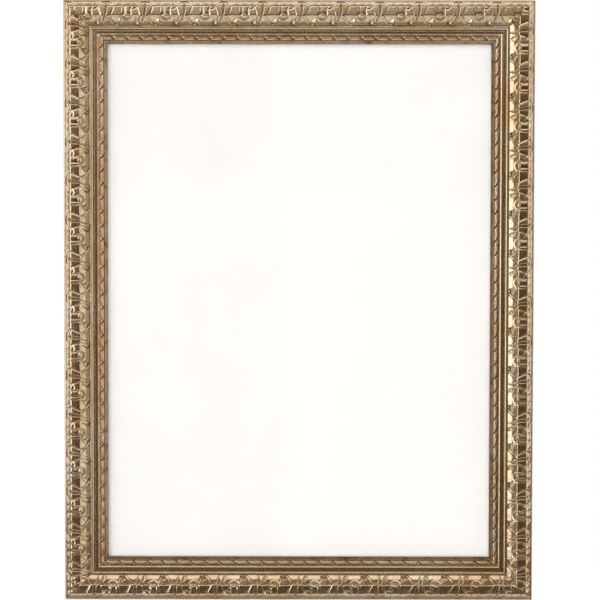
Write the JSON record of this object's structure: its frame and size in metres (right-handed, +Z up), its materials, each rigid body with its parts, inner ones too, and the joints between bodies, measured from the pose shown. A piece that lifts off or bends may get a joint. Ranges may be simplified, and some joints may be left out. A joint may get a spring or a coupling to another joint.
{
  "type": "picture frame",
  "caption": "Upright gilded picture frame with leaf-and-tongue ornament, rope bead, glazing, backing board, turn buttons and hinged D-ring hangers.",
  "frame": {"origin": "on the wall plane behind the centre of the frame", "axes": "+Z up, the frame's face looks along -Y, +X to the right as seen from the front"},
  "size_m": [0.5468, 0.037, 0.6992],
  "materials": {
    "gilded_wood": "satin antique gold leaf with brown patina on the face, bare wood on the back",
    "gilded_composition": "satin antique gold leaf with brown patina in the hollows, over pressed composition",
    "glazing_glass": "clear picture glass",
    "white_paper": "plain matt white card",
    "filler_card": "foam centred filler board",
    "hardboard": "brown hardboard",
    "nail_steel": "blued spring steel",
    "button_steel": "bright zinc plate",
    "screw_steel": "zinc plated",
    "hanger_steel": "nickel plated",
    "bumper_rubber": "dark soft rubber"
  },
  "bodies": {
    "frame": {"bottom_rail": "gilded_wood", "top_rail": "gilded_wood", "left_rail": "gilded_wood", "right_rail": "gilded_wood", "bottom_ornament": "gilded_composition", "top_ornament": "gilded_composition", "left_ornament": "gilded_composition", "right_ornament": "gilded_composition", "bottom_rope_bead": "gilded_composition", "top_rope_bead": "gilded_composition", "left_rope_bead": "gilded_composition", "right_rope_bead": "gilded_composition", "corner_nails": "nail_steel", "glazing": "glazing_glass", "white_sheet": "white_paper", "filler_board": "filler_card", "backing_board": "hardboard", "turn_button_screws": "screw_steel", "left_hanger_strap": "hanger_steel", "right_hanger_strap": "hanger_steel", "hanger_screws": "screw_steel", "bumpers": "bumper_rubber"},
    "left_upper_turn_button": {"left_upper_turn_button": "button_steel"},
    "left_lower_turn_button": {"left_lower_turn_button": "button_steel"},
    "right_upper_turn_button": {"right_upper_turn_button": "button_steel"},
    "right_lower_turn_button": {"right_lower_turn_button": "button_steel"},
    "top_turn_button": {"top_turn_button": "button_steel"},
    "bottom_turn_button": {"bottom_turn_button": "button_steel"},
    "left_hanger_ring": {"left_hanger_ring": "hanger_steel"},
    "right_hanger_ring": {"right_hanger_ring": "hanger_steel"}
  },
  "joints": [
    {"name": "left_upper_turn", "type": "hinge", "parent": "frame", "child": "left_upper_turn_button", "pos_m": [-0.2391, -0.0054, 0.18], "axis": [0, 1, 0], "continuous": true},
    {"name": "left_lower_turn", "type": "hinge", "parent": "frame", "child": "left_lower_turn_button", "pos_m": [-0.2391, -0.0054, -0.18], "axis": [0, 1, 0], "continuous": true},
    {"name": "right_upper_turn", "type": "hinge", "parent": "frame", "child": "right_upper_turn_button", "pos_m": [0.2391, -0.0054, 0.18], "axis": [0, 1, 0], "continuous": true},
    {"name": "right_lower_turn", "type": "hinge", "parent": "frame", "child": "right_lower_turn_button", "pos_m": [0.2391, -0.0054, -0.18], "axis": [0, 1, 0], "continuous": true},
    {"name": "top_turn", "type": "hinge", "parent": "frame", "child": "top_turn_button", "pos_m": [0, -0.0054, 0.3153], "axis": [0, 1, 0], "continuous": true},
    {"name": "bottom_turn", "type": "hinge", "parent": "frame", "child": "bottom_turn_button", "pos_m": [0, -0.0054, -0.3153], "axis": [0, 1, 0], "continuous": true},
    {"name": "left_ring_swing", "type": "hinge", "parent": "frame", "child": "left_hanger_ring", "pos_m": [-0.2514, -0.0035, 0.117], "axis": [1, 0, 0], "range_deg": [0, 180]},
    {"name": "right_ring_swing", "type": "hinge", "parent": "frame", "child": "right_hanger_ring", "pos_m": [0.2514, -0.0035, 0.117], "axis": [1, 0, 0], "range_deg": [0, 180]}
  ]
}
